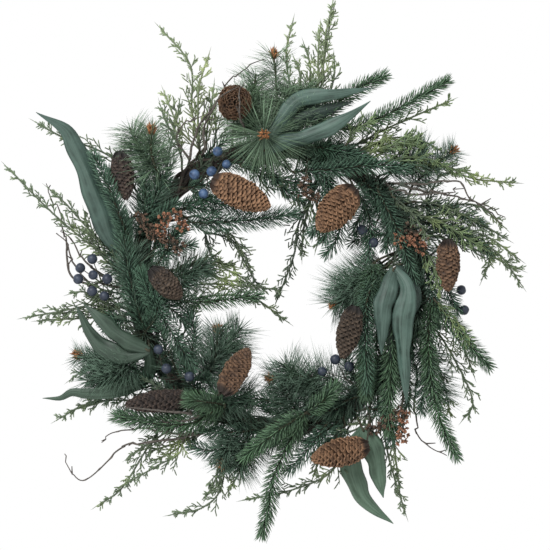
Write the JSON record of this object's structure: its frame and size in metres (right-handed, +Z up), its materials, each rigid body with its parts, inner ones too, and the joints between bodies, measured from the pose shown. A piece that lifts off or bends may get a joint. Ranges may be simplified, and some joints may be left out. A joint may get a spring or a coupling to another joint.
{
  "type": "christmas wreath",
  "caption": "Mixed evergreen wreath on a twisted vine ring with pine cones, berries, long leaves and twigs, hung flat on a wall or door hook.",
  "frame": {"origin": "the point under the top of the vine ring where the hook carries the wreath, midway through the ring's depth", "axes": "+Z up, +X to the viewer's right, the decorated front faces -Y and the back of the ring faces +Y"},
  "size_m": [0.5861, 0.0881, 0.6042],
  "materials": {
    "vine": "dull bark",
    "spruce": "moulded needles",
    "pine": "soft cut needles",
    "cedar": "moulded scale leaves",
    "leaf": "printed cloth leaf",
    "cone": "dry woody scales",
    "seeds": "rust seed heads",
    "berries": "waxy bloom",
    "twig": "grey brown bark"
  },
  "bodies": {
    "root": {"berries_bottom": "berries", "berries_left": "berries", "berries_right": "berries", "berries_top": "berries", "cedar_bottom": "cedar", "cedar_bottom_left": "cedar", "cedar_bottom_right": "cedar", "cedar_inner_left": "cedar", "cedar_inner_top": "cedar", "cedar_left": "cedar", "cedar_right": "cedar", "cedar_right_low": "cedar", "cedar_right_mid": "cedar", "cedar_top": "cedar", "cedar_top_left": "cedar", "cedar_top_right": "cedar", "cedar_upper_left": "cedar", "cone_bottom": "cone", "cone_bottom_left": "cone", "cone_inner_left": "cone", "cone_inner_right": "cone", "cone_left": "cone", "cone_right": "cone", "cone_top": "cone", "cone_top_end_on": "cone", "cone_top_right": "cone", "cone_upper_left": "cone", "leaf_spray_bottom": "leaf", "leaf_spray_left": "leaf", "leaf_spray_right": "leaf", "leaf_spray_top": "leaf", "leaf_spray_top_left": "leaf", "pine_bottom": "pine", "pine_inner_bottom": "pine", "pine_inner_left": "pine", "pine_inner_right": "pine", "pine_left": "pine", "pine_right_top": "pine", "pine_top": "pine", "pine_top_left": "pine", "seeds_bottom_right": "seeds", "seeds_left": "seeds", "seeds_right": "seeds", "seeds_top": "seeds", "spruce_bottom": "spruce", "spruce_bottom_left": "spruce", "spruce_inner_left": "spruce", "spruce_inner_right": "spruce", "spruce_inner_top": "spruce", "spruce_left": "spruce", "spruce_right": "spruce", "spruce_top": "spruce", "spruce_top_right": "spruce", "twig_bottom_left": "twig", "twig_left": "twig", "twig_right": "twig", "twig_top": "twig", "vine_1": "vine", "vine_2": "vine", "vine_3": "vine"}
  },
  "joints": []
}
